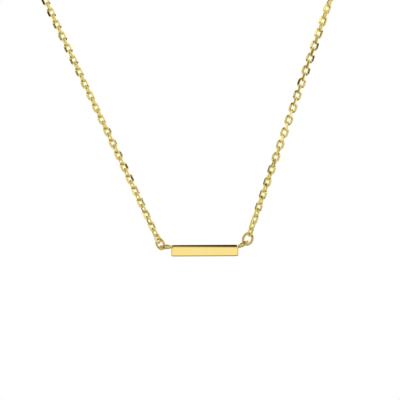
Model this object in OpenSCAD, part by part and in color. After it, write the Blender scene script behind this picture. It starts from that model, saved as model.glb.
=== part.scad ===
// Bar pendant hanging from a cable chain, shown as it hangs on a neck.
// Millimetres. X runs across the bar, Y from the chest to the nape, Z up.
// The origin is on the chain at the nape, where the necklace rests.

/* [Bar] */
// length of the square bar, end face to end face
bar_l = 12.15; // [9:0.05:16]
// height and depth of the square bar
bar_w = 1.8; // [1.5:0.05:2.2]
// rounding of the bar's edges
bar_edge = 0.25; // [0.1:0.01:0.3]

/* [Eyes] */
// outside diameter of the eye soldered to each end of the bar
eye_d = 2.2; // [2.1:0.05:2.6]
// wire of the eyes
eye_wire = 0.37; // [0.32:0.01:0.4]
// how deep an eye's wire is let into the end face
eye_sink = 0.15; // [0.1:0.01:0.2]
// how far an eye's top stands above the bar's top face
eye_rise = 0.02; // [0.01:0.01:0.06]
// upward bend of the right eye, in degrees
eye_lift = 28; // [15:0.5:35]
// where a jump ring bears, in degrees behind the eye's far end
hook_angle = 17; // [14:0.5:22]
// how far inside the eye's wire the chain's line passes the eye's end
hook_inset = 0.12; // [0:0.01:0.2]
// size of the solder on each eye's joint
solder_d = 0.5; // [0.46:0.01:0.56]

/* [Jump rings] */
// outside diameter of the left jump ring
ring_d_left = 2.34; // [2.3:0.02:2.7]
// outside diameter of the right jump ring
ring_d_right = 2.5; // [2.3:0.02:2.7]
// wire of the jump rings
ring_wire = 0.4; // [0.34:0.01:0.42]
// how far the left ring is turned away from the front, in degrees
ring_turn_left = 49; // [30:1:52]
// how far the right ring is turned away from the front, in degrees
ring_turn_right = 38; // [22:1:42]

/* [Chain] */
// length of a link
link_l = 1.95; // [1.85:0.01:2.2]
// width of a link
link_w = 1.46; // [1.42:0.01:1.6]
// wire of a link
link_wire = 0.33; // [0.28:0.01:0.34]
// links on each side, ring to clasp
links_a_side = 168; // [160:1:180]
// links on each side that are modelled one by one, counted from the bar
links_modelled = 100; // [94:1:106]
// turn of the left chain's front links near the bar, in degrees from the front
turn_left = 29; // [20:1:36]
// how much of that turn each further link of the left chain loses, in degrees
untwist_left = 0.4; // [0:0.1:1.2]
// turn of the right chain's front links near the bar, in degrees from the front
turn_right = 30; // [20:1:36]
// how much of that turn each further link of the right chain loses, in degrees
untwist_right = 1.5; // [0:0.1:1.6]
// links over which the chains untwist
untwist_links = 40; // [20:1:60]
// links over which the chain settles next to a jump ring
settle_links = 2.5; // [2:0.5:6]
// thickness of the stretch behind the neck
tube_d = 1.49; // [1.2:0.01:1.8]

/* [Hang] */
// angle of each side of the V from the vertical
fall_angle = 22.1; // [18:0.1:26]
// straight fall of the chain from the shoulder to the bar's ring
fall_l = 80; // [70:1:90]
// bend radius where the chain goes over the shoulder
shoulder_r = 22; // [18:1:26]
// rise of the chain from the shoulder to the nape, in degrees
side_rise = 20; // [12:1:28]

/* [Clasp] */
// outside diameter of the spring-ring clasp
clasp_d = 5; // [4.5:0.1:6]
// thickness of the clasp's ring
clasp_wire = 0.9; // [0.8:0.05:1]
// outside diameter of the clasp's tail loop
tail_d = 1.9; // [1.8:0.05:2.3]
// wire of the tail loop
tail_wire = 0.4; // [0.35:0.01:0.45]
// how deep the tail loop is let into the clasp's ring
tail_sink = 0.15; // [0.1:0.01:0.2]
// outside diameter of the jump ring at the clasp
end_ring_d = 2.4; // [2.3:0.02:2.7]

/* [Clearances] */
// gap where a ring bears on an eye, a link or the clasp
ring_gap = 0.1; // [0.1:0.01:0.14]
// gap between two links where they bear on each other
link_gap = 0.11; // [0.1:0.01:0.14]

/* [Hidden] */
ROUND = 48;
WIRE_ROUND = 24;
GOLD = [0.93, 0.76, 0.42];

// centreline radii of the rings
eye_r = (eye_d - eye_wire) / 2;
end_ring_r = (end_ring_d - ring_wire) / 2;
clasp_r = (clasp_d - clasp_wire) / 2;
tail_r = (tail_d - tail_wire) / 2;
link_pitch = link_l - 2 * link_wire - link_gap;
link_reach = (link_l - link_wire) / 2;

// eyes in the bar's own frame, measured from the bar's centre
eye_root_x = bar_l / 2 - eye_sink + eye_wire / 2;
eye_root_z = bar_w / 2 + eye_rise - eye_wire / 2;
hook_reach = eye_r * (1 + cos(hook_angle)) - hook_inset;
hook_y = eye_r * sin(hook_angle);
left_hook = [-eye_root_x - hook_reach, hook_y, eye_root_z];
right_hook = [
    eye_root_x + hook_reach * cos(eye_lift),
    hook_y,
    eye_root_z + hook_reach * sin(eye_lift)
];

// the bar's centre of mass, lifted a little by the eyes
bar_volume = bar_l * bar_w * bar_w;
eye_volume = 2 * PI * eye_r * PI * pow(eye_wire / 2, 2);
eye_share = eye_volume / (bar_volume + 2 * eye_volume);
mass_z = eye_share * (2 * eye_root_z + eye_r * sin(eye_lift));

// the bar leans until both hooks are level and tilts until it hangs under them
hook_rise = right_hook.z - left_hook.z;
hook_run = right_hook.x - left_hook.x;
bar_lean = atan2(hook_rise, hook_run);
hook_mid = (left_hook + right_hook) / 2;
hook_half = norm([hook_run, hook_rise]) / 2;
hook_height = hook_mid.z * cos(bar_lean) - hook_mid.x * sin(bar_lean);
bar_tilt = atan2(hook_y, hook_height - mass_z);

// distances along the chain from the hook
function ring_at(ring_d) = ring_d / 2 - ring_wire - ring_gap - eye_wire / 2;
function first_link_at(ring_d) =
    ring_at(ring_d) + ring_d / 2 - ring_wire - ring_gap - link_wire / 2 + link_reach;
last_link_at = first_link_at((ring_d_left + ring_d_right) / 2) + (links_a_side - 1) * link_pitch;
chain_end_s = last_link_at + link_reach;

// links on each side are spread so that both sides end at the same distance
function link_at(i, ring_d) =
    first_link_at(ring_d) + i * (last_link_at - first_link_at(ring_d)) / (links_a_side - 1);

// clasp and end ring, along X from the clasp's centre
end_ring_x = clasp_r - clasp_wire / 2 - ring_gap - ring_wire / 2 + end_ring_r;
right_end_x = end_ring_x + end_ring_r - ring_wire / 2 - ring_gap - link_wire / 2;
tail_x = clasp_d / 2 + tail_wire / 2 - tail_sink + tail_r;
left_end_x = tail_x + tail_r - tail_wire / 2 - ring_gap - link_wire / 2;
chain_end_x = (left_end_x + right_end_x) / 2;
clasp_x = (left_end_x - right_end_x) / 2;
left_tube_x = tail_x + tail_d / 2 - clasp_x + ring_gap;
right_tube_x = end_ring_x + end_ring_d / 2 + clasp_x + ring_gap;
nape_flat = max(left_tube_x, right_tube_x) + link_w / 2;

// directions of the right half's stretches, each square to the next
fall_dir = [sin(fall_angle), 0, cos(fall_angle)];
side_dir = [0, cos(side_rise), sin(side_rise)];
nape_dir = [-1, 0, 0];
shoulder_angle = acos(fall_dir * side_dir);
shoulder_axis = cross(fall_dir, side_dir) / sin(shoulder_angle);
nape_axis = cross(side_dir, nape_dir);

// joints of the right half's route, measured from the middle of the hooks
fall_start = [hook_half, 0, 0];
fall_end = fall_start + fall_l * fall_dir;
side_start = arc_point(fall_end, fall_dir, shoulder_axis, shoulder_r, shoulder_angle);
nape_r = side_start.x - nape_flat;
shoulder_end_s = fall_l + shoulder_r * shoulder_angle * PI / 180;
nape_arc_l = nape_r * PI / 2;
side_l = chain_end_s - shoulder_end_s - nape_arc_l - (nape_flat - chain_end_x);
side_end = side_start + side_l * side_dir;
nape_end = arc_point(side_end, side_dir, nape_axis, nape_r, 90);
side_end_s = shoulder_end_s + side_l;
nape_end_s = side_end_s + nape_arc_l;
nape_mid = nape_end + nape_flat * nape_dir;

// the stretch behind the neck starts clear of the last modelled link
function tube_start_s(ring_d) = link_at(links_modelled - 1, ring_d) + link_l / 2 + ring_gap;
TUBE_SIDES = 8;
TUBE_STEP = 2.5 * tube_d;

function turned(v, axis, angle) =
    v * cos(angle) + cross(axis, v) * sin(angle) + axis * (axis * v) * (1 - cos(angle));

function arc_point(start, dir, axis, r, angle) =
    start + r * (sin(angle) * dir + (1 - cos(angle)) * cross(axis, dir));

// bend of the route at a distance s, over the shoulder and round the nape
function shoulder_bend(s) = max(0, min(shoulder_angle, (s - fall_l) / shoulder_r * 180 / PI));
function nape_bend(s) = max(0, min(90, (s - side_end_s) / nape_r * 180 / PI));

function route_point(s) =
    s < fall_l ? fall_start + s * fall_dir :
    s < shoulder_end_s ?
        arc_point(fall_end, fall_dir, shoulder_axis, shoulder_r, shoulder_bend(s)) :
    s < side_end_s ? side_start + (s - shoulder_end_s) * side_dir :
    s < nape_end_s ? arc_point(side_end, side_dir, nape_axis, nape_r, nape_bend(s)) :
        nape_end + (s - nape_end_s) * nape_dir;

// a direction at the start of the route, carried along it without twist
function carried(v, s) =
    turned(turned(v, shoulder_axis, shoulder_bend(s)), nape_axis, nape_bend(s));

// turn of a link about the chain: square to its neighbour, and the first to its ring
function link_turn(i, ring_turn, turn, untwist) =
    (i % 2) * 90 - turn + untwist * min(i, untwist_links)
    - (90 - ring_turn - turn) * exp(-i / settle_links);

// puts children at a distance s, their Z along the chain and their X turned outwards
module on_route(s, turn) {
    p = route_point(s);
    z = carried(fall_dir, s);
    x0 = carried([cos(fall_angle), 0, -sin(fall_angle)], s);
    x = turned(x0, z, turn);
    y = cross(z, x);
    multmatrix([
        [x.x, y.x, z.x, p.x],
        [x.y, y.y, z.y, p.y],
        [x.z, y.z, z.z, p.z]
    ]) children();
}

// moves the hooks' frame so that the nape is at the origin
module from_hooks() {
    translate(-nape_mid) children();
}

module left_half() {
    mirror([1, 0, 0]) children();
}

// a plain ring, lying in XY
module ring(r, wire) {
    rotate_extrude($fn = ROUND)
        translate([r, 0])
            circle(d = wire, $fn = WIRE_ROUND);
}

// a long-oval link, lying in XZ with its length along Z
module link() {
    bow_r = (link_w - link_wire) / 2;
    leg = link_l - link_w;
    for (end = [0, 1])
        mirror([0, 0, end])
            translate([0, 0, leg / 2])
                rotate([90, 0, 0])
                    rotate_extrude(angle = 180, $fn = ROUND)
                        translate([bow_r, 0])
                            circle(d = link_wire, $fn = WIRE_ROUND);
    for (side = [-1, 1])
        translate([side * bow_r, 0, -leg / 2])
            cylinder(h = leg, d = link_wire, $fn = WIRE_ROUND);
}

module rounded_square(a, b) {
    square([a - 2 * bar_edge, b], center = true);
    square([a, b - 2 * bar_edge], center = true);
    for (x = [-1, 1], y = [-1, 1])
        translate([x * (a / 2 - bar_edge), y * (b / 2 - bar_edge)])
            circle(r = bar_edge, $fn = WIRE_ROUND);
}

// a bar with every edge rounded, as three crossed prisms
module rounded_bar() {
    intersection() {
        rotate([90, 0, 90])
            linear_extrude(bar_l, center = true)
                rounded_square(bar_w, bar_w);
        linear_extrude(bar_w, center = true)
            rounded_square(bar_l, bar_w);
        rotate([90, 0, 0])
            linear_extrude(bar_w, center = true)
                rounded_square(bar_l, bar_w);
    }
}

// an eye reaching out along +X from its root, with its solder
module eye(lift) {
    translate([eye_root_x, 0, eye_root_z])
        rotate([0, -lift, 0])
            translate([eye_r, 0, 0])
                ring(eye_r, eye_wire);
    translate([bar_l / 2, 0, eye_root_z])
        sphere(d = solder_d, $fn = ROUND);
}

// a run of modelled links on the right half
module links(ring_d, ring_turn, turn, untwist) {
    for (i = [0 : links_modelled - 1])
        on_route(link_at(i, ring_d), link_turn(i, ring_turn, turn, untwist))
            link();
}

module jump_ring(ring_d, turn) {
    on_route(ring_at(ring_d), turn)
        rotate([90, 0, 0])
            ring((ring_d - ring_wire) / 2, ring_wire);
}

// the right half's stretch behind the neck, swept along the route to end_x
module back_tube(ring_d, end_x) {
    start_s = tube_start_s(ring_d);
    end_s = nape_end_s + nape_flat - end_x;
    steps = ceil((end_s - start_s) / TUBE_STEP);
    points = [
        for (i = [0 : steps])
            let (s = start_s + (end_s - start_s) * i / steps,
                middle = route_point(s),
                out = carried([cos(fall_angle), 0, -sin(fall_angle)], s),
                across = carried([0, 1, 0], s))
            for (j = [0 : TUBE_SIDES - 1])
                let (a = 360 * (j + 0.5) / TUBE_SIDES)
                middle + tube_d / 2 * (cos(a) * out + sin(a) * across)
    ];
    walls = [
        for (i = [0 : steps - 1], j = [0 : TUBE_SIDES - 1])
            let (near = i * TUBE_SIDES, far = near + TUBE_SIDES, k = (j + 1) % TUBE_SIDES)
            [near + j, far + j, far + k, near + k]
    ];
    start_cap = [for (j = [0 : TUBE_SIDES - 1]) j];
    end_cap = [for (j = [TUBE_SIDES - 1 : -1 : 0]) steps * TUBE_SIDES + j];
    polyhedron(points, concat(walls, [start_cap, end_cap]));
}

module bar() {
    color(GOLD)
        from_hooks()
            rotate([bar_tilt, 0, 0])
                rotate([0, bar_lean, 0])
                    translate(-hook_mid) {
                        rounded_bar();
                        left_half() eye(0);
                        eye(eye_lift);
                    }
}

module jump_ring_left() {
    color(GOLD)
        from_hooks()
            left_half() jump_ring(ring_d_left, ring_turn_left);
}

module jump_ring_right() {
    color(GOLD)
        from_hooks()
            jump_ring(ring_d_right, ring_turn_right);
}

module chain_left() {
    color(GOLD)
        from_hooks()
            left_half() links(ring_d_left, ring_turn_left, turn_left, untwist_left);
}

module chain_right() {
    color(GOLD)
        from_hooks()
            links(ring_d_right, ring_turn_right, turn_right, untwist_right);
}

module chain_left_back() {
    color(GOLD)
        from_hooks()
            left_half() back_tube(ring_d_left, left_tube_x);
}

module chain_right_back() {
    color(GOLD)
        from_hooks()
            back_tube(ring_d_right, right_tube_x);
}

// spring ring standing flat against the nape, with its tail loop to the left
module clasp() {
    color(GOLD)
        rotate([side_rise - 90, 0, 0])
            translate([clasp_x, 0, 0]) {
                ring(clasp_r, clasp_wire);
                translate([-tail_x, 0, 0]) ring(tail_r, tail_wire);
            }
}

// jump ring through the clasp, lying across it
module end_ring() {
    color(GOLD)
        rotate([side_rise, 0, 0])
            translate([clasp_x + end_ring_x, 0, 0])
                ring(end_ring_r, ring_wire);
}

bar();
jump_ring_left();
jump_ring_right();
chain_left();
chain_right();
chain_left_back();
chain_right_back();
clasp();
end_ring();
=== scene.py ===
# %% [markdown]
# # A bar pendant on a diamond-cut cable chain
# The real piece is a short square bar of polished yellow gold. An eye is soldered to each
# end, a jump ring goes through each eye, and a fine cable chain runs from the rings round
# the neck. Such a piece could be modelled by eye and scaled afterwards. Here the measured
# solids are loaded first as a fixed frame, and every new surface is worked out in the same
# place and size, so nothing has to be fitted later.

import math

import bpy
import numpy as np
from mathutils import Matrix, Vector


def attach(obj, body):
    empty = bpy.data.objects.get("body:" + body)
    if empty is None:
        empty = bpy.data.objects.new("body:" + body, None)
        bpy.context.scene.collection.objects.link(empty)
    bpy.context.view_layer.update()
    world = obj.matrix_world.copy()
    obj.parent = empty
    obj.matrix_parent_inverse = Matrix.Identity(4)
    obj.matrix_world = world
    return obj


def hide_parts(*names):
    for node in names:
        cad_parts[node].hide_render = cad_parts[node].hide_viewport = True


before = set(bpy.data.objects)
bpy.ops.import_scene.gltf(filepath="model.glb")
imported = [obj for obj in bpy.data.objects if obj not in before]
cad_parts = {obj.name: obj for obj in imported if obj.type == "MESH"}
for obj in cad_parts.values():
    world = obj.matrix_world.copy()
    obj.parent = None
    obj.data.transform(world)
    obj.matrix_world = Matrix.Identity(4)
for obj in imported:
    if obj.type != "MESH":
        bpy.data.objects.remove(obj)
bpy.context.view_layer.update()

# %% [markdown]
# ## Camera
# The photograph looks straight at the bar. One side of the chain falls more steeply in it
# than the other, while a necklace hangs evenly, so the camera is tipped by three degrees.
# The chain could be hung unevenly instead, but then it would look wrong from every other
# side. A long lens keeps both sides of the V as straight as the photograph shows them.

# %% Place the camera
MM = 0.001
FRAME_PX = 400
MM_PER_PX = 0.18
LENS_MM = 180.0
SENSOR_MM = 36.0
CAMERA_TIP_DEG = 3.1
# what the camera can see, in metres
NEAREST, FARTHEST = 0.01, 20.0
# where the middle between the two hooks of the bar hangs, in millimetres from the nape
HOOKS_Z = -117.652
FRONT_Y = -79.2619
# the same place in the photograph
HOOKS_AT_PX = (204.15, 244.25)

frame_width = FRAME_PX * MM_PER_PX
camera_distance = frame_width * LENS_MM / SENSOR_MM
off_x = (HOOKS_AT_PX[0] - FRAME_PX / 2) * MM_PER_PX
off_z = (FRAME_PX / 2 - HOOKS_AT_PX[1]) * MM_PER_PX
tip = math.radians(CAMERA_TIP_DEG)
# the picture's right and up directions, in the scene
picture_right = Vector((math.cos(tip), 0, -math.sin(tip)))
picture_up = Vector((math.sin(tip), 0, math.cos(tip)))
hooks_mid = Vector((0, FRONT_Y, HOOKS_Z))
aim = hooks_mid - off_x * picture_right - off_z * picture_up

camera_data = bpy.data.cameras.new("camera")
camera_data.lens = LENS_MM
camera_data.sensor_width = SENSOR_MM
camera_data.clip_start = NEAREST
camera_data.clip_end = FARTHEST
camera = bpy.data.objects.new("camera", camera_data)
bpy.context.scene.collection.objects.link(camera)
turn = Matrix((picture_right, picture_up, Vector((0, -1, 0)))).transposed().to_4x4()
camera.matrix_world = Matrix.Translation((aim + Vector((0, -camera_distance, 0))) * MM) @ turn
bpy.context.scene.camera = camera
print("camera stands", round(camera_distance), "mm in front of the bar")

# %% [markdown]
# ## Stage and light
# Polished gold has almost no colour of its own to show: it shows the room. So the light is
# planned like a jeweller's photo tent. A bright pool of floor fills the bar's front face,
# and a dark strip above and behind draws the dark line along its top. A link's flat leg
# mirrors one spot of the room as a whole, so a few dark bands, which lean as the chain does,
# blacken a leg here and there. Real cards and lamps could stand round the piece, but they
# would show from other sides and leave grainy glints on such small mirrors. So the room is
# a shader, in which a Light Path node tells a mirrored ray from the camera's own. The
# camera meets a plain white room and a plain pale floor from every side.

# %% Shader helpers
# the colour sockets of a Mix node
MIX_A, MIX_B, MIX_RESULT = 6, 7, 2


def node(tree, kind, **settings):
    """A node of a shader tree with its settings."""
    made = tree.nodes.new(kind)
    for key, value in settings.items():
        setattr(made, key, value)
    return made


def maths(tree, operation, *sources):
    """One maths node with sockets or numbers for its inputs."""
    made = node(tree, "ShaderNodeMath", operation=operation)
    for source, socket in zip(sources, made.inputs):
        if isinstance(source, (int, float)):
            socket.default_value = source
        else:
            tree.links.new(source, socket)
    return made.outputs[0]


def above(tree, source, low, high):
    """0 where the source is below low and 1 above high, with a smooth step between."""
    step = node(tree, "ShaderNodeMapRange", interpolation_type="SMOOTHSTEP")
    step.inputs["From Min"].default_value = low
    step.inputs["From Max"].default_value = high
    tree.links.new(source, step.inputs["Value"])
    return step.outputs["Result"]


def between(tree, source, low, high, soft):
    """1 where the source lies from low to high, fading to 0 over the width soft outside."""
    fall = maths(tree, "SUBTRACT", 1.0, above(tree, source, high, high + soft))
    return maths(tree, "MULTIPLY", above(tree, source, low - soft, low), fall)


def covered(tree, colour, rgb, mask):
    """A colour mixed towards another one as far as a mask says."""
    mix = node(tree, "ShaderNodeMix", data_type="RGBA")
    tree.links.new(mask, mix.inputs["Factor"])
    tree.links.new(colour, mix.inputs[MIX_A])
    mix.inputs[MIX_B].default_value = (*rgb, 1)
    return mix.outputs[MIX_RESULT]


def with_cards(tree, rgb, cards, measures):
    """A plain colour with coloured cards laid over it, one after the other.

    A card is a colour and some measures with their (low, high, soft). Its mask is the
    product of one soft step up and down for each measure.
    """
    ground = node(tree, "ShaderNodeRGB")
    ground.outputs[0].default_value = (*rgb, 1)
    colour = ground.outputs[0]
    for card_rgb, ranges in cards:
        masks = [between(tree, measures[name], *limits) for name, limits in ranges.items()]
        mask = masks[0]
        for other in masks[1:]:
            mask = maths(tree, "MULTIPLY", mask, other)
        colour = covered(tree, colour, card_rgb, mask)
    return colour


print("shader helpers ready")

# %% Colours of the room, and the cards in it
WHITE_RGB = (1.0, 1.0, 1.0)
OPEN_RGB = (0.72, 0.69, 0.52)
BEHIND_RGB = (1.0, 0.98, 0.86)
OVERHEAD_RGB = (0.28, 0.25, 0.09)
FRONT_RGB = (1.1, 1.1, 1.08)
# cool light from the right, which gold turns to cream
NEAR_RIGHT_RGB = (0.92, 0.88, 1.1)
RIGHT_RGB = (1.2, 1.14, 2.0)
DARK_RGB = (0.02, 0.014, 0.004)
CARD_RGB = (0.03, 0.025, 0.01)
BROWN_RGB = (0.12, 0.09, 0.03)
OLIVE_RGB = (0.20, 0.18, 0.08)

# dark bands that go on over the floor
LEFT_BAND = (0.36, 0.55, 0.015)
RIGHT_BAND = (-0.29, 0.03, 0.03)
# in front of the piece, and far to its right
AHEAD = (-1.0, -0.4, 0.1)
WELL_RIGHT = (0.4, 1.0, 0.1)
# a card fills the room from low to high in each measure, and fades over soft: (low, high, soft)
ROOM_CARDS = (
    (BEHIND_RGB, {"back": (0.35, 1.0, 0.2)}),
    (OVERHEAD_RGB, {"sideways": (0.0, 0.5, 0.25), "back": (-0.93, 0.1, 0.15), "up": (0.45, 1.0, 0.2)}),
    (FRONT_RGB, {"sideways": (0.0, 0.25, 0.15), "back": (-1.0, -0.85, 0.1), "up": (0.15, 0.45, 0.1)}),
    (NEAR_RIGHT_RGB, {"right": (0.45, 1.0, 0.2), "up": (0.15, 1.0, 0.1)}),
    (RIGHT_RGB, {"right": (0.82, 1.0, 0.1), "up": (0.25, 1.0, 0.1)}),
    (DARK_RGB, {"sideways": (0.0, 0.07, 0.13), "back": (0.65, 1.0, 0.15), "up": (0.33, 0.62, 0.1)}),
    (OLIVE_RGB, {"right": (-1.0, -0.75, 0.1), "back": (0.1, 0.7, 0.1), "up": (0.1, 0.7, 0.1)}),
    (OLIVE_RGB, {"left_by_back": (0.15, 0.325, 0.02), "up": (-0.15, 0.08, 0.04), "back": AHEAD}),
    (CARD_RGB, {"left_by_back": LEFT_BAND, "up": (-0.7, 0.1, 0.05), "back": AHEAD}),
    (CARD_RGB, {"right_by_back": (0.95, 1.2, 0.03), "up": (0.1, 0.75, 0.05), "back": AHEAD}),
    (BROWN_RGB, {"back_by_left": (0.355, 0.52, 0.015), "up": (0.0, 0.85, 0.05), "right": WELL_RIGHT}),
    (CARD_RGB, {"back_by_right": RIGHT_BAND, "up": (-0.7, 0.15, 0.05), "right": WELL_RIGHT}),
)
print(len(ROOM_CARDS), "cards in the room")

# %% The room that reflections see
# each side of the chain falls this far from the vertical, and so leans by this share
FALL_DEG = 22.1
LEAN = math.tan(math.radians(FALL_DEG))

world = bpy.data.worlds.new("studio")
bpy.context.scene.world = world
world.use_nodes = True
room = world.node_tree
room.nodes.clear()
direction = node(room, "ShaderNodeSeparateXYZ")
room.links.new(node(room, "ShaderNodeTexCoord").outputs["Generated"], direction.inputs[0])
right, back, up = direction.outputs
# how far a direction points across the left and the right side of the chain
across_left = maths(room, "ADD", right, maths(room, "MULTIPLY", up, LEAN))
across_right = maths(room, "SUBTRACT", right, maths(room, "MULTIPLY", up, LEAN))
room_measures = {
    "right": right,
    "back": back,
    "up": up,
    "sideways": maths(room, "ABSOLUTE", right),
    "left_by_back": maths(room, "DIVIDE", across_left, back),
    "right_by_back": maths(room, "DIVIDE", across_right, back),
    "back_by_left": maths(room, "DIVIDE", back, across_left),
    "back_by_right": maths(room, "DIVIDE", back, across_right),
}
mirrored_room = with_cards(room, OPEN_RGB, ROOM_CARDS, room_measures)
camera_ray = node(room, "ShaderNodeLightPath").outputs["Is Camera Ray"]
sky = node(room, "ShaderNodeBackground")
room.links.new(covered(room, mirrored_room, WHITE_RGB, camera_ray), sky.inputs["Color"])
room.links.new(sky.outputs[0], node(room, "ShaderNodeOutputWorld").inputs["Surface"])
bpy.context.scene.view_settings.view_transform = "Standard"
print("the room's shader has", len(room.nodes), "nodes")

# %% Pale floor
FLOOR_Z = -0.6
FLOOR_R = 3.2
FLOOR_SIDES = 96
FLOOR_SHADE = 0.92
FLOOR_ROUGHNESS = 0.7
FLOOR_GLOW = 0.42

angles = np.linspace(0, 2 * np.pi, FLOOR_SIDES, endpoint=False)
rim_x, rim_y = FLOOR_R * np.cos(angles), FLOOR_R * np.sin(angles)
rim = np.stack([rim_x, rim_y, np.full(FLOOR_SIDES, FLOOR_Z)], axis=1)
floor_mesh = bpy.data.meshes.new("floor")
floor_mesh.from_pydata(rim.tolist(), [], [list(range(FLOOR_SIDES))])
floor = bpy.data.objects.new("floor", floor_mesh)
bpy.context.scene.collection.objects.link(floor)
floor_material = bpy.data.materials.new("pale_floor")
floor_material.use_nodes = True
lino = floor_material.node_tree
floor_shader = lino.nodes["Principled BSDF"]
floor_shader.inputs["Base Color"].default_value = (FLOOR_SHADE, FLOOR_SHADE, FLOOR_SHADE, 1)
floor_shader.inputs["Roughness"].default_value = FLOOR_ROUGHNESS
floor_shader.inputs["Emission Color"].default_value = (*WHITE_RGB, 1)
floor_shader.inputs["Emission Strength"].default_value = FLOOR_GLOW
floor_mesh.materials.append(floor_material)
print("floor lies", round(-FLOOR_Z * 1000), "mm below the nape")

# %% The floor that reflections see, with painted light and shade
# painted light and shade on the floor that mirrors see: brighter behind, a painted shade below the piece, a
# painted pool of light in front, and the dark bands
SHADE_BELOW_RGB = (0.30, 0.28, 0.11)
LIT_POOL_RGB = (1.0, 0.995, 0.98)
FLOOR_CARDS = (
    (BEHIND_RGB, {"y": (0.3, FLOOR_R, 0.25)}),
    (SHADE_BELOW_RGB, {"x": (-0.4, 0.4, 0.4), "y": (-0.6, -0.05, 0.2)}),
    (LIT_POOL_RGB, {"x": (-0.3, 0.3, 0.2), "y": (-1.5, -0.8, 0.2)}),
    (CARD_RGB, {"left_by_back": LEFT_BAND, "y": (-FLOOR_R, -1.2, 0.1)}),
    (CARD_RGB, {"back_by_right": RIGHT_BAND, "x": (1.57, FLOOR_R, 0.04)}),
)

spot = node(lino, "ShaderNodeSeparateXYZ")
lino.links.new(node(lino, "ShaderNodeTexCoord").outputs["Object"], spot.inputs[0])
floor_x, floor_y, _ = spot.outputs
# the leaning bands go on where they meet the floor, as seen from the bar
floor_back = maths(lino, "SUBTRACT", floor_y, FRONT_Y * MM)
floor_lean = LEAN * (FLOOR_Z - HOOKS_Z * MM)
floor_measures = {
    "x": floor_x,
    "y": floor_y,
    "left_by_back": maths(lino, "DIVIDE", maths(lino, "ADD", floor_x, floor_lean), floor_back),
    "back_by_right": maths(lino, "DIVIDE", floor_back, maths(lino, "SUBTRACT", floor_x, floor_lean)),
}
# an emission that only mirrored rays meet, carrying the painted light and shade of these patches
mirrored_floor = node(lino, "ShaderNodeEmission")
lino.links.new(with_cards(lino, OPEN_RGB, FLOOR_CARDS, floor_measures), mirrored_floor.inputs["Color"])
which_ray = node(lino, "ShaderNodeMixShader")
lino.links.new(node(lino, "ShaderNodeLightPath").outputs["Is Glossy Ray"], which_ray.inputs[0])
lino.links.new(floor_shader.outputs[0], which_ray.inputs[1])
lino.links.new(mirrored_floor.outputs[0], which_ray.inputs[2])
lino.links.new(which_ray.outputs[0], lino.nodes["Material Output"].inputs["Surface"])
print(len(FLOOR_CARDS), "patches on the mirrored floor")

# %% Soft lights
# where each lamp stands, the length of its side in metres and its power in watts
KEY_AT, KEY_SIZE, KEY_WATTS = (-0.45, -0.75, 0.45), 0.35, 3.0
TOP_AT, TOP_SIZE, TOP_WATTS = (0, 0.2, 1.4), 1.2, 40.0


def softbox(name, place, target, size, power):
    """A square area light at a place, facing a target, that no mirror shows."""
    lamp = bpy.data.lights.new(name, "AREA")
    lamp.size = size
    lamp.energy = power
    holder = bpy.data.objects.new(name, lamp)
    bpy.context.scene.collection.objects.link(holder)
    facing = (Vector(target) - Vector(place)).to_track_quat("-Z", "Y")
    holder.matrix_world = Matrix.Translation(place) @ facing.to_matrix().to_4x4()
    holder.visible_camera = False
    holder.visible_glossy = False


softbox("key_light", KEY_AT, (0, FRONT_Y * MM, HOOKS_Z * MM), KEY_SIZE, KEY_WATTS)
softbox("floor_light", TOP_AT, (TOP_AT[0], TOP_AT[1], FLOOR_Z), TOP_SIZE, TOP_WATTS)

# %% [markdown]
# ## Polished gold
# All pieces are the same alloy. What differs is the finish: the bar is buffed until it
# mirrors the room, the drawn wire of rings and eyes keeps a faint grain, and the links were
# cut flat by a diamond tool. The gold of the rings and eyes is painted a little deeper in
# tone than the bar's, as painted shade. Three separate materials could repeat the same
# nodes. One node group is shorter: it mixes colour, roughness and a very low relief from
# noise on Object coordinates, and each material places it with its own values.

# %% Node group for worn, polished gold
GOLD_RGB = (0.97, 0.775, 0.30)
CLOUD_DETAIL, GRAIN_DETAIL = 3.0, 4.0
# the values of the grain noise that become the smoothest and the roughest spots
GRAIN_LOW, GRAIN_HIGH = 0.35, 0.7
# in metres
RELIEF_DEPTH = 0.00002


def new_group(name, inputs, outputs):
    """An empty shader node group with named sockets: {name: (kind, default)}, {name: kind}."""
    group = bpy.data.node_groups.new(name, "ShaderNodeTree")
    for label, (kind, default) in inputs.items():
        socket = group.interface.new_socket(label, in_out="INPUT", socket_type=kind)
        socket.default_value = default
    for label, kind in outputs.items():
        group.interface.new_socket(label, in_out="OUTPUT", socket_type=kind)
    return group, group.nodes.new("NodeGroupInput"), group.nodes.new("NodeGroupOutput")


gold_group, given, result = new_group(
    "polished_gold",
    {
        "Gold": ("NodeSocketColor", (*GOLD_RGB, 1)),
        "Deeper Gold": ("NodeSocketColor", (*GOLD_RGB, 1)),
        "Cloud Size": ("NodeSocketFloat", 400.0),
        "Cloud Amount": ("NodeSocketFloat", 0.3),
        "Grain Size": ("NodeSocketVector", (2000.0, 2000.0, 2000.0)),
        "Smoothest": ("NodeSocketFloat", 0.04),
        "Roughest": ("NodeSocketFloat", 0.12),
        "Relief": ("NodeSocketFloat", 0.05),
    },
    {"Color": "NodeSocketColor", "Roughness": "NodeSocketFloat", "Normal": "NodeSocketVector"},
)
links = gold_group.links
place = node(gold_group, "ShaderNodeTexCoord").outputs["Object"]
print("group polished_gold takes", len(given.outputs) - 1, "values")

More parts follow.
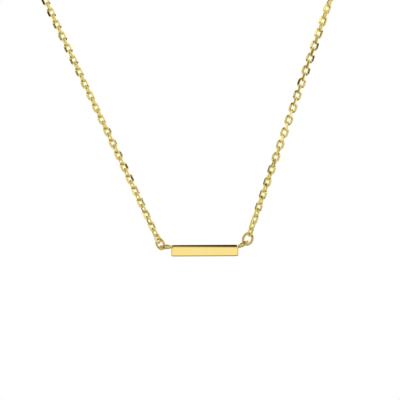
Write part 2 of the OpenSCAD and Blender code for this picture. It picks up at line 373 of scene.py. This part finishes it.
# %% Cloudy colour, fine grain and low relief inside the group
cloud = node(gold_group, "ShaderNodeTexNoise")
cloud.inputs["Detail"].default_value = CLOUD_DETAIL
links.new(place, cloud.inputs["Vector"])
links.new(given.outputs["Cloud Size"], cloud.inputs["Scale"])
cloud_share = maths(gold_group, "MULTIPLY", cloud.outputs["Fac"], given.outputs["Cloud Amount"])
tone = node(gold_group, "ShaderNodeMix", data_type="RGBA")
links.new(cloud_share, tone.inputs["Factor"])
links.new(given.outputs["Gold"], tone.inputs[MIX_A])
links.new(given.outputs["Deeper Gold"], tone.inputs[MIX_B])
links.new(tone.outputs[MIX_RESULT], result.inputs["Color"])

stretched = node(gold_group, "ShaderNodeVectorMath", operation="MULTIPLY")
links.new(place, stretched.inputs[0])
links.new(given.outputs["Grain Size"], stretched.inputs[1])
grain = node(gold_group, "ShaderNodeTexNoise")
grain.inputs["Scale"].default_value = 1.0
grain.inputs["Detail"].default_value = GRAIN_DETAIL
links.new(stretched.outputs[0], grain.inputs["Vector"])
dull = node(gold_group, "ShaderNodeMapRange")
links.new(grain.outputs["Fac"], dull.inputs["Value"])
dull.inputs["From Min"].default_value = GRAIN_LOW
dull.inputs["From Max"].default_value = GRAIN_HIGH
links.new(given.outputs["Smoothest"], dull.inputs["To Min"])
links.new(given.outputs["Roughest"], dull.inputs["To Max"])
links.new(dull.outputs["Result"], result.inputs["Roughness"])
relief = node(gold_group, "ShaderNodeBump")
relief.inputs["Distance"].default_value = RELIEF_DEPTH
links.new(given.outputs["Relief"], relief.inputs["Strength"])
links.new(grain.outputs["Fac"], relief.inputs["Height"])
links.new(relief.outputs["Normal"], result.inputs["Normal"])
print("group polished_gold has", len(gold_group.nodes), "nodes")

# %% Three finishes of the same gold, the wire's darkened by painted shade
DEEPER_GOLD_RGB = (0.90, 0.70, 0.17)
# painted shade: the gold of rings and eyes, and of the clouds in it, is a darker copy of the bar's
SHADED_WIRE_RGB = (0.78, 0.63, 0.24)
DEEPER_SHADED_WIRE_RGB = (0.58, 0.43, 0.10)
CHAIN_RGB = (0.94, 0.82, 0.37)
DEEPER_CHAIN_RGB = (0.86, 0.75, 0.22)


def gold_finish(name, rgb, deeper_rgb, **values):
    """A metal material fed by the polished_gold group, with its own values on the group."""
    material = bpy.data.materials.new(name)
    material.use_nodes = True
    tree = material.node_tree
    shader = tree.nodes["Principled BSDF"]
    shader.inputs["Metallic"].default_value = 1.0
    group = tree.nodes.new("ShaderNodeGroup")
    group.node_tree = gold_group
    group.inputs["Gold"].default_value = (*rgb, 1)
    group.inputs["Deeper Gold"].default_value = (*deeper_rgb, 1)
    for label, value in values.items():
        group.inputs[label.replace("_", " ")].default_value = value
    for mine, theirs in (("Color", "Base Color"), ("Roughness", "Roughness"), ("Normal", "Normal")):
        tree.links.new(group.outputs[mine], shader.inputs[theirs])
    return material


mirror_gold = gold_finish(
    "mirror_polished_gold", GOLD_RGB, DEEPER_GOLD_RGB,
    Cloud_Size=180.0, Cloud_Amount=0.3, Grain_Size=(150.0, 2600.0, 2600.0),
    Smoothest=0.04, Roughest=0.06, Relief=0.001,
)
# rings and eyes: their darker colour is painted shade
shaded_wire_gold = gold_finish(
    "drawn_wire_painted_shade_gold", SHADED_WIRE_RGB, DEEPER_SHADED_WIRE_RGB,
    Cloud_Size=900.0, Cloud_Amount=0.4, Grain_Size=(3000.0, 3000.0, 3000.0),
    Smoothest=0.05, Roughest=0.12, Relief=0.05,
)
cut_gold = gold_finish(
    "diamond_cut_gold", CHAIN_RGB, DEEPER_CHAIN_RGB,
    Cloud_Size=700.0, Cloud_Amount=0.5, Grain_Size=(2400.0, 2400.0, 2400.0),
    Smoothest=0.06, Roughest=0.13, Relief=0.02,
)
print("finishes:", [m.name for m in (mirror_gold, shaded_wire_gold, cut_gold)])

# %% [markdown]
# ## From numbers to a mesh
# Every piece here is a length of wire or bar stock, so it is a grid of points: rows along a
# path, columns round a section. Curves with a bevel make such shapes too, but their section
# only grows or shrinks along the way. On a grid it may change its form at every row. The
# faces between the rows are the same whatever the shape is, so one helper makes them, and
# the shape itself stays in one formula.

# %% Grid helpers


def grid_faces(rows, columns, closed_rows=False):
    """Quads between the points of a grid whose columns close on themselves.

    Point (i, j) is number i * columns + j. A quad joins (i, j), (i, j+1), (i+1, j+1) and
    (i+1, j), counting j round the section, and i round the path where closed_rows is set.
    """
    i, j = np.meshgrid(np.arange(rows if closed_rows else rows - 1), np.arange(columns), indexing="ij")
    after, beside_it = (i + 1) % rows, (j + 1) % columns
    corners = ((i, j), (i, beside_it), (after, beside_it), (after, j))
    return np.stack([row * columns + column for row, column in corners], axis=-1).reshape(-1, 4)


def make_piece(name, points_mm, faces, material, body, stands_for):
    """A finished, smooth object at the origin, its points given in millimetres from the nape."""
    mesh = bpy.data.meshes.new(name)
    mesh.from_pydata((points_mm * MM).reshape(-1, 3).tolist(), [], faces)
    mesh.validate()
    mesh.polygons.foreach_set("use_smooth", np.full(len(mesh.polygons), True))
    mesh.materials.append(material)
    mesh.update()
    piece = bpy.data.objects.new(name, mesh)
    bpy.context.scene.collection.objects.link(piece)
    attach(piece, body)
    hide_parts(*stands_for)
    print(name, "has", len(mesh.polygons), "faces")
    return piece


print("grid helpers ready")

# %% [markdown]
# ## The bar
# The real bar is a length of square wire with every edge softened by the buffing wheel. A
# cube with a Bevel modifier comes close, but a mirror shows every fraction of a degree by
# which a face bulges or leans. So each cross-section is a square with round corners and
# slightly crowned sides, and the sections shrink along a quarter circle near an end.

# %% Sizes of the bar and its eyes, in millimetres
BAR_L, BAR_W, BAR_EDGE = 12.15, 1.8, 0.25
EYE_D, EYE_WIRE, EYE_SINK, EYE_RISE = 2.2, 0.37, 0.15, 0.02
EYE_LIFT_DEG, HOOK_DEG, HOOK_INSET = 28.0, 17.0, 0.12

eye_r = (EYE_D - EYE_WIRE) / 2
eye_root_x = BAR_L / 2 - EYE_SINK + EYE_WIRE / 2
eye_root_z = BAR_W / 2 + EYE_RISE - EYE_WIRE / 2
hook_reach = eye_r * (1 + math.cos(math.radians(HOOK_DEG))) - HOOK_INSET
hook_y = eye_r * math.sin(math.radians(HOOK_DEG))
lift = math.radians(EYE_LIFT_DEG)
right_hook_x = eye_root_x + hook_reach * math.cos(lift)
right_hook_z = eye_root_z + hook_reach * math.sin(lift)
left_hook = np.array([-eye_root_x - hook_reach, hook_y, eye_root_z])
right_hook = np.array([right_hook_x, hook_y, right_hook_z])
print("the right hook lies %.2f mm out from the middle of the bar" % right_hook_x)

# %% How the bar hangs
# the bar leans until both hooks are level, and tilts until its weight hangs under them
bar_volume = BAR_L * BAR_W**2
eye_volume = 2 * math.pi * eye_r * math.pi * (EYE_WIRE / 2) ** 2
mass_z = eye_volume / (bar_volume + 2 * eye_volume) * (2 * eye_root_z + eye_r * math.sin(lift))
run, _, rise = right_hook - left_hook
bar_lean = math.atan2(rise, run)
hook_half = math.hypot(run, rise) / 2
hook_mid = (left_hook + right_hook) / 2
hook_height = hook_mid[2] * math.cos(bar_lean) - hook_mid[0] * math.sin(bar_lean)
bar_tilt = math.atan2(hook_y, hook_height - mass_z)
hang = np.array(Matrix.Rotation(bar_tilt, 3, "X") @ Matrix.Rotation(bar_lean, 3, "Y"))
hooks_at = np.array([0.0, FRONT_Y, HOOKS_Z])
print("bar leans %.2f and tilts %.2f degrees" % (math.degrees(bar_lean), math.degrees(bar_tilt)))


def hung(points):
    """Points in the bar's own frame, moved to where the bar hangs."""
    return (points - hook_mid) @ hang.T + hooks_at


# %% Round-cornered section
CORNER_STEPS, FLAT_STEPS = 6, 8
# the four long edges in turn: top back, top front, bottom front, bottom back
EDGE_ROUND = np.array([0.25, 0.14, 0.25, 0.25])
LEAST_ROUND = 0.01
CROWN = 0.012


def soft_square(half, inset):
    """Points round a square with soft corners and crowned sides, a row for each inset.

    A side goes from corner to corner at half its width plus crown (1 - w^2), where w goes
    from -1 to 1 along it. A corner is its centre plus the radius times (cos t, sin t), with
    t going through a quarter turn. The four sides follow each other anticlockwise.
    """
    w = np.linspace(-1, 1, FLAT_STEPS + 1)[None, :]
    t = np.linspace(0, np.pi / 2, CORNER_STEPS + 1)[None, 1:-1]
    h = half[:, None]
    quarters = []
    for k in range(4):
        before = np.maximum(EDGE_ROUND[k - 1] - inset, LEAST_ROUND)[:, None]
        after = np.maximum(EDGE_ROUND[k] - inset, LEAST_ROUND)[:, None]
        along = (1 - w) / 2 * (before - h) + (1 + w) / 2 * (h - after)
        side = np.stack([h + CROWN * (1 - w**2), along], axis=-1)
        corner = np.stack([h - after + after * np.cos(t), h - after + after * np.sin(t)], axis=-1)
        quarter = np.concatenate([side, corner], axis=1)
        c, s = round(math.cos(k * math.pi / 2)), round(math.sin(k * math.pi / 2))
        quarters.append(quarter @ np.array([[c, s], [-s, c]]))
    return np.concatenate(quarters, axis=1)


print("a section has", 4 * (FLAT_STEPS + CORNER_STEPS), "points")

# %% The bar, made of such sections
END_STEPS, LENGTH_STEPS = 6, 96
FRONT_EDGE_RISE = 0.13
END_FALL, END_FALL_L = 0.05, 0.7
FLAT_WEIGHT = 80


def bar_surface():
    """The bar's grid: sections shrink by r (1 - sin f) while they go in by r (1 - cos f).

    All four sides also fall in by END_FALL n^2, where n grows from 0 to 1 over the last
    END_FALL_L of each end. The buffing wheel took more off the top near the right end, so
    the long front edge of the top rises towards the left by FRONT_EDGE_RISE.
    """
    f = np.linspace(0, np.pi / 2, END_STEPS + 1)
    inset = BAR_EDGE * (1 - np.sin(f))
    x = BAR_L / 2 - BAR_EDGE * (1 - np.cos(f))
    middle = np.linspace(-x[-1], x[-1], LENGTH_STEPS + 1)[1:-1]
    x_all = np.concatenate([-x, middle, x[::-1]])
    inset_all = np.concatenate([inset, np.zeros_like(middle), inset[::-1]])
    near_end = np.clip((np.abs(x_all) - BAR_L / 2 + END_FALL_L) / END_FALL_L, 0, 1)
    section = soft_square(BAR_W / 2 - inset_all - END_FALL * near_end**2, inset_all)
    x_grid = np.broadcast_to(x_all[:, None], section.shape[:2])
    y_grid, z_grid = section[..., 0], section[..., 1]
    front_share = np.clip(0.5 - y_grid / BAR_W, 0, 1)
    left_share = 0.5 - x_grid / BAR_L
    z_grid = z_grid + FRONT_EDGE_RISE * front_share * left_share * np.clip(2 * z_grid / BAR_W, 0, 1)
    return np.stack([x_grid, y_grid, z_grid], axis=-1)


bar_grid = bar_surface()
rows, columns = bar_grid.shape[:2]
last = (rows - 1) * columns
bar_faces = grid_faces(rows, columns).tolist()
bar_faces += [list(range(columns))[::-1], list(range(last, last + columns))]
bar_points = hung(bar_grid.reshape(-1, 3))
bar_piece = make_piece("polished_bar", bar_points, bar_faces, mirror_gold, "bar", ["bar"])
flat_first = bar_piece.modifiers.new("flats stay flat", "WEIGHTED_NORMAL")
flat_first.weight = FLAT_WEIGHT

# %% [markdown]
# ## Eyes and jump rings
# An eye is a ring of round wire soldered to the bar's end. Solder creeps along the wire by
# itself and leaves a soft foot. A torus with a blob on it would show a seam between the
# two, so the eye is one surface whose wire swells towards the joint. A jump ring is the
# same surface without the swelling, and with a faint groove where its two ends were closed.

# %% Surface of a ring of wire
RING_STEPS, WIRE_STEPS = 72, 16


def wire_ring(r, wire, swell=None):
    """A ring in XY: ((r + a cos p) cos t, (r + a cos p) sin t, a sin p).

    a is half the wire's thickness, times swell(t) where a function is given, t goes round
    the ring and p round the wire.
    """
    t = np.linspace(0, 2 * np.pi, RING_STEPS, endpoint=False)[:, None]
    p = np.linspace(0, 2 * np.pi, WIRE_STEPS, endpoint=False)[None, :]
    a = wire / 2 * (np.ones_like(t) if swell is None else swell(t))
    reach = r + a * np.cos(p)
    return np.stack([reach * np.cos(t), reach * np.sin(t), a * np.sin(p) * np.ones_like(t)], axis=-1)


def near_angle(t, middle, width):
    """A bump of height 1 at an angle, falling off as exp(-(angle / width)^2)."""
    away = (t - middle + np.pi) % (2 * np.pi) - np.pi
    return np.exp(-((away / width) ** 2))


print("a ring has", RING_STEPS * WIRE_STEPS, "faces")

# %% The two soldered eyes
# the polished wire looks a little thicker than the solid's
SHOWN_EYE_WIRE = 0.39
SOLDER_SWELL = 0.4
SOLDER_WIDTH = 0.35


def soldered(t):
    """Wire thickness of an eye: 1 away from the joint, swelling where t is half a turn."""
    return 1 + SOLDER_SWELL * near_angle(t, np.pi, SOLDER_WIDTH)


def eye_points(side, bend):
    """An eye in the bar's frame: its root at the bar's end, raised by the bend, on a side."""
    points = wire_ring(eye_r, SHOWN_EYE_WIRE, soldered).reshape(-1, 3) + np.array([eye_r, 0, 0])
    points = points @ np.array(Matrix.Rotation(-bend, 3, "Y")).T
    points += np.array([eye_root_x, 0, eye_root_z])
    return points * np.array([side, 1, 1])


ring_faces = grid_faces(RING_STEPS, WIRE_STEPS, closed_rows=True)[:, ::-1]
for name, side, bend in (("eye_left", -1, 0.0), ("eye_right", 1, lift)):
    # a mirrored ring needs its faces turned round to point outwards
    faces = ring_faces if side > 0 else ring_faces[:, ::-1]
    eye_piece = make_piece(name, hung(eye_points(side, bend)), faces.tolist(), shaded_wire_gold, "bar", ["bar"])

# %% [markdown]
# ## The route of the chain
# Each side of the chain hangs straight, goes over the shoulder in an arc, runs back along
# the neck and meets the other side in an arc behind it. A Bezier curve could carry it, but
# its length would have to be measured. Here every stretch is a line or a circle, so a
# distance along the chain gives a point and three directions at once. The directions are
# carried along without twist, which is how a chain that isn't wrung lies.

# %% Sizes of the chain and its route, in millimetres
RING_D_LEFT, RING_D_RIGHT, END_RING_D, RING_WIRE, RING_GAP = 2.34, 2.5, 2.4, 0.4, 0.1
LINK_L, LINK_W, LINK_WIRE, LINK_GAP = 1.95, 1.46, 0.33, 0.11
LINKS_A_SIDE = 168
FALL_L, SHOULDER_R, SIDE_RISE_DEG = 80.0, 22.0, 20.0
CLASP_D, CLASP_WIRE, TAIL_D, TAIL_WIRE, TAIL_SINK = 5.0, 0.9, 1.9, 0.4, 0.15

link_pitch = LINK_L - 2 * LINK_WIRE - LINK_GAP
link_reach = (LINK_L - LINK_WIRE) / 2


def ring_at(ring_d):
    """Distance from the hook to a jump ring's centre.

    It is half the ring, less the ring's wire, the gap to the eye and half the eye's wire.
    """
    return ring_d / 2 - RING_WIRE - RING_GAP - EYE_WIRE / 2


def first_link_at(ring_d):
    """Distance from the hook to the first link's centre.

    From the ring's centre it is half the ring, less its wire, the gap and half the link's
    wire, and then the link's own reach.
    """
    return ring_at(ring_d) + ring_d / 2 - RING_WIRE - RING_GAP - LINK_WIRE / 2 + link_reach


last_link_at = first_link_at((RING_D_LEFT + RING_D_RIGHT) / 2) + (LINKS_A_SIDE - 1) * link_pitch
last_link_end = last_link_at + link_reach
print("chain of %d links a side, %.1f mm from ring to clasp" % (LINKS_A_SIDE, last_link_end))

# %% Places of the clasp's pieces along the nape
end_ring_r = (END_RING_D - RING_WIRE) / 2
clasp_r = (CLASP_D - CLASP_WIRE) / 2
tail_r = (TAIL_D - TAIL_WIRE) / 2
end_ring_x = clasp_r - CLASP_WIRE / 2 - RING_GAP - RING_WIRE / 2 + end_ring_r
right_end_x = end_ring_x + end_ring_r - RING_WIRE / 2 - RING_GAP - LINK_WIRE / 2
tail_x = CLASP_D / 2 + TAIL_WIRE / 2 - TAIL_SINK + tail_r
left_end_x = tail_x + tail_r - TAIL_WIRE / 2 - RING_GAP - LINK_WIRE / 2
chain_end_x = (left_end_x + right_end_x) / 2
clasp_x = (left_end_x - right_end_x) / 2
clasp_reach_left = tail_x + TAIL_D / 2 - clasp_x + RING_GAP
clasp_reach_right = end_ring_x + END_RING_D / 2 + clasp_x + RING_GAP
# the chain runs straight across the nape for this far to each side
nape_flat = max(clasp_reach_left, clasp_reach_right) + LINK_W / 2
print("the clasp lies %.2f mm to the right of the middle" % clasp_x)

# %% Lines and arcs of the route


def turned(v, axis, angle):
    """Vectors v turned about a unit axis by an angle for each row, in radians.

    The turned vector is v cos a + (axis x v) sin a + axis (axis . v) (1 - cos a).
    """
    c, s = np.cos(angle)[..., None], np.sin(angle)[..., None]
    along = (v @ axis)[..., None] * axis
    return v * c + np.cross(axis, v) * s + along * (1 - c)


def arc_points(start, direction, axis, r, angle):
    """start + r (sin a direction + (1 - cos a) axis x direction), a row for each angle."""
    sideways_dir = np.cross(axis, direction)
    return start + r * (np.sin(angle)[:, None] * direction + (1 - np.cos(angle))[:, None] * sideways_dir)


fall, side_rise = math.radians(FALL_DEG), math.radians(SIDE_RISE_DEG)
fall_dir = np.array([math.sin(fall), 0, math.cos(fall)])
side_dir = np.array([0, math.cos(side_rise), math.sin(side_rise)])
nape_dir = np.array([-1.0, 0, 0])
shoulder_angle = math.acos(fall_dir @ side_dir)
shoulder_axis = np.cross(fall_dir, side_dir) / math.sin(shoulder_angle)
nape_axis = np.cross(side_dir, nape_dir)

fall_start = np.array([hook_half, 0, 0])
fall_end = fall_start + FALL_L * fall_dir
side_start = arc_points(fall_end, fall_dir, shoulder_axis, SHOULDER_R, np.array([shoulder_angle]))[0]
nape_r = side_start[0] - nape_flat
shoulder_end_s = FALL_L + SHOULDER_R * shoulder_angle
side_l = last_link_end - shoulder_end_s - nape_r * np.pi / 2 - (nape_flat - chain_end_x)
side_end = side_start + side_l * side_dir
side_end_s = shoulder_end_s + side_l
nape_end = side_end + nape_r * (side_dir + nape_dir)
nape_end_s = side_end_s + nape_r * np.pi / 2
hooks_from_nape = -(nape_end + nape_flat * nape_dir)
print("the sides run back for %.1f mm and meet in an arc of %.1f mm" % (side_l, nape_r))

# %% Points and directions along the route


def route(s):
    """Points of the right half at distances s, and the chain's way, outward and across.

    On a line a point is the line's start plus the rest of s times its direction, and on an
    arc it is arc_points. The three directions start at the fall and turn with each arc.
    """
    over = np.clip((s - FALL_L) / SHOULDER_R, 0, shoulder_angle)
    round_nape = np.clip((s - side_end_s) / nape_r, 0, np.pi / 2)
    points = np.select(
        [(s < end)[:, None] for end in (FALL_L, shoulder_end_s, side_end_s, nape_end_s)],
        [
            fall_start + s[:, None] * fall_dir,
            arc_points(fall_end, fall_dir, shoulder_axis, SHOULDER_R, over),
            side_start + (s - shoulder_end_s)[:, None] * side_dir,
            arc_points(side_end, side_dir, nape_axis, nape_r, round_nape),
        ],
        nape_end + (s - nape_end_s)[:, None] * nape_dir,
    )
    ways = []
    for first in (fall_dir, np.array([math.cos(fall), 0, -math.sin(fall)]), np.array([0.0, 1.0, 0.0])):
        over_shoulder = turned(np.broadcast_to(first, points.shape), shoulder_axis, over)
        ways.append(turned(over_shoulder, nape_axis, round_nape))
    return points + hooks_from_nape, *ways


check_points = route(np.array([0.0, last_link_end]))[0]
print("the chain starts at", check_points[0].round(3), "and ends at", check_points[1].round(3))

# %% [markdown]
# ## Diamond-cut links
# A cable chain's links are ovals of round wire. Diamond cutting shaves flats on them, and
# those flats catch the light one by one as the chain turns. So each link has few faces: an
# oval of twelve stretches with a section of six sides. Its ends are shaded round, but each
# flat of a leg faces one way over its whole length, which its custom normals say. An Array
# modifier along a curve would repeat one link, and every link would catch the light alike.
# Here every link is placed by itself. Every second one stands square to its neighbours, a
# short table turns the row slowly along each side, and a small seeded twist keeps the
# glints from repeating. The links keep the places of the measured solids along the chain,
# but for a little slack on the left, which the photograph shows.

# %% One link
LINK_STEPS = 12
# corners of the wire's section: outward in the link's plane, and through it
LINK_SECTION = np.array([[1, 0.3], [-0.35, 1], [-1, 0.4], [-1, -0.4], [-0.35, -1], [1, -0.3]])
# width in the link's plane and depth through it, at the legs and at the ends
SIDE_WIRE, END_WIRE = (0.46, 0.40), (0.36, 0.38)
# a step of the oval belongs to a leg where its cosine is above this
LEG_COS = 0.9


def one_link():
    """A link's grid in its own frame: X across, Y through, Z along.

    The outer edge is two half circles of radius R joined by straight legs: (R cos t, R sin t
    +/- leg / 2). The wire lies inside it, thick at the legs and thinner at the ends: its
    thickness is end + (side - end) cos^2 t, in the link's plane and through it. The section's
    six corners are those of LINK_SECTION times half the thickness.
    """
    t = (np.arange(LINK_STEPS) + 0.5) * 2 * np.pi / LINK_STEPS
    out = np.stack([np.cos(t), np.zeros_like(t), np.sin(t)], axis=-1)
    side = np.cos(t) ** 2
    wide = END_WIRE[0] + (SIDE_WIRE[0] - END_WIRE[0]) * side
    deep = END_WIRE[1] + (SIDE_WIRE[1] - END_WIRE[1]) * side
    outer_r = LINK_W / 2 / math.cos(math.pi / LINK_STEPS)
    leg = LINK_L - LINK_W
    path = (outer_r - wide / 2)[:, None] * out + np.array([0, 0, leg / 2]) * np.sign(np.sin(t))[:, None]
    across = wide[:, None] / 2 * LINK_SECTION[:, 0]
    through = deep[:, None] / 2 * LINK_SECTION[:, 1]
    return path[:, None, :] + across[..., None] * out[:, None, :] + through[..., None] * np.array([0, 1, 0])


def link_facing():
    """The way each flat of a link faces at each step of its path, in the link's own frame.

    A flat whose edge in the section is (dx, dy) faces (dy, -dx). It turns with the path's
    angle t, but both ends of a leg take the leg's own angle, so that a leg stays flat.
    """
    t = (np.arange(LINK_STEPS) + 0.5) * 2 * np.pi / LINK_STEPS
    t = np.where(np.abs(np.cos(t)) > LEG_COS, np.round(t / np.pi) * np.pi, t)
    out = np.stack([np.cos(t), np.zeros_like(t), np.sin(t)], axis=-1)
    dx, dy = (np.roll(LINK_SECTION, -1, axis=0) - LINK_SECTION).T[..., None]
    facing = dy * out[:, None, :] - dx * np.array([0, 1, 0])
    return facing / np.linalg.norm(facing, axis=-1, keepdims=True)


print("a link has", LINK_STEPS * len(LINK_SECTION), "faces")

# %% How the links stand in a row
# how far every other link is turned away from the front, at four links of each side
TURN_AT_LINK = (0, 8, 20, 40)
# slack is how much closer to its ring the left row starts
SIDES = (
    {"name": "left", "side": -1, "ring_d": RING_D_LEFT, "ring_turn_deg": 49.0, "slack": 0.19,
     "link_turn_deg": (-37.5, -33.6, -27.8, -18.0)},
    {"name": "right", "side": 1, "ring_d": RING_D_RIGHT, "ring_turn_deg": 38.0, "slack": 0.0,
     "link_turn_deg": (-30.0, -28.0, -1.0, 31.0)},
)
# links over which the row gives up the turn of its jump ring
SETTLE_LINKS = 2.5
TWIST_DEG = 1.5
SEED = 4626


def link_row(half, random):
    """All links of one half, on the right side: their points and facings, by whole arrays.

    Link i is turned by 90 degrees where i is odd, plus the table's turn between its rows.
    The first link stands square to its ring, which fades out as exp(-i / SETTLE_LINKS).
    """
    i = np.arange(LINKS_A_SIDE)
    first_at = first_link_at(half["ring_d"]) - half["slack"]
    points, way, outward, across = route(np.linspace(first_at, last_link_at, LINKS_A_SIDE))
    turn_deg = (i % 2) * 90 + np.interp(i, TURN_AT_LINK, half["link_turn_deg"])
    from_ring_deg = 90 - half["ring_turn_deg"] + half["link_turn_deg"][0]
    turn_deg = turn_deg - from_ring_deg * np.exp(-i / SETTLE_LINKS)
    turn_deg = turn_deg + random.uniform(-TWIST_DEG, TWIST_DEG, LINKS_A_SIDE)
    a = np.radians(turn_deg)[:, None]
    x = outward * np.cos(a) + across * np.sin(a)
    axes = np.stack([x, np.cross(way, x), way], axis=1)
    placed, facings = [np.einsum("ijk,lkm->lijm", grid, axes) for grid in (one_link(), link_facing())]
    return points[:, None, None, :] + placed, facings


def row_faces(facings, mirrored):
    """The faces of one link repeated for every link, and the facing of each face's corners.

    Point numbers move on by one grid for each link. A corner takes the facing of its own
    step of the path and of the flat that the face lies on.
    """
    count, rows, columns, _ = facings.shape
    one = grid_faces(rows, columns, closed_rows=True)
    if mirrored:
        one = one[:, ::-1]
    faces = (one[None] + np.arange(count)[:, None, None] * rows * columns).reshape(-1, 4)
    flat = np.arange(len(one))[:, None] % columns
    return faces, facings[:, one // columns, flat].reshape(-1, 3)


print("turns are set at links", TURN_AT_LINK)

# %% Both sides of the chain
random = np.random.default_rng(SEED)
for half in SIDES:
    row, facings = link_row(half, random)
    faces, corner_facings = row_faces(facings, mirrored=half["side"] < 0)
    mirror = np.array([half["side"], 1, 1])
    node_name = "chain_" + half["name"]
    chain = make_piece("cable_" + node_name, row.reshape(-1, 3) * mirror, faces.tolist(), cut_gold,
                       "necklace", [node_name, node_name + "_back"])
    chain.data.normals_split_custom_set((corner_facings * mirror).tolist())

# %% [markdown]
# ## Jump rings, clasp and end ring
# The jump rings join the bar's eyes to the chain, and each is turned out of the front view
# by the pull of its side. Turning them by hand in the viewport would lose the contact with
# their neighbours, so they take their place from the same route as the links. At the nape
# a plain spring ring closes the necklace: a thick ring with a tail loop on one side and a
# jump ring on the other.

# %% The two jump rings at the bar
# the polished wire looks a little thicker than the solid's
SHOWN_RING_WIRE = 0.46
CLOSURE_AT_DEG = 150
CLOSURE_DEPTH = 0.16
CLOSURE_WIDTH = 0.035


def closed_ring(t):
    """Wire thickness of a jump ring: a narrow groove where its ends meet, facing away."""
    return 1 - CLOSURE_DEPTH * near_angle(t, np.radians(CLOSURE_AT_DEG), CLOSURE_WIDTH)


for half in SIDES:
    points, way, outward, across = route(np.array([ring_at(half["ring_d"])]))
    a = math.radians(half["ring_turn_deg"])
    x = outward[0] * math.cos(a) + across[0] * math.sin(a)
    axes = np.stack([x, way[0], np.cross(x, way[0])])
    ring = wire_ring((half["ring_d"] - RING_WIRE) / 2, SHOWN_RING_WIRE, closed_ring)
    ring = (ring.reshape(-1, 3) @ axes + points[0]) * np.array([half["side"], 1, 1])
    faces = ring_faces if half["side"] > 0 else ring_faces[:, ::-1]
    piece = make_piece("jump_ring_polished_" + half["name"], ring, faces.tolist(), shaded_wire_gold,
                       "necklace", ["jump_ring_" + half["name"]])

# %% Clasp and end ring
tip_up = np.array(Matrix.Rotation(side_rise, 3, "X"))
stand_up = np.array(Matrix.Rotation(side_rise - math.pi / 2, 3, "X"))
# name, centreline radius, wire, place along the nape, how it stands, and its node
clasp_parts = (
    ("spring_ring", clasp_r, CLASP_WIRE, clasp_x, stand_up, "clasp"),
    ("spring_ring_tail", tail_r, TAIL_WIRE, clasp_x - tail_x, stand_up, "clasp"),
    ("end_ring_polished", end_ring_r, RING_WIRE, clasp_x + end_ring_x, tip_up, "end_ring"),
)
for name, r, wire, x_mm, way_up, node_name in clasp_parts:
    points = (wire_ring(r, wire).reshape(-1, 3) + np.array([x_mm, 0, 0])) @ way_up.T
    piece = make_piece(name, points, ring_faces.tolist(), shaded_wire_gold, "necklace", [node_name])
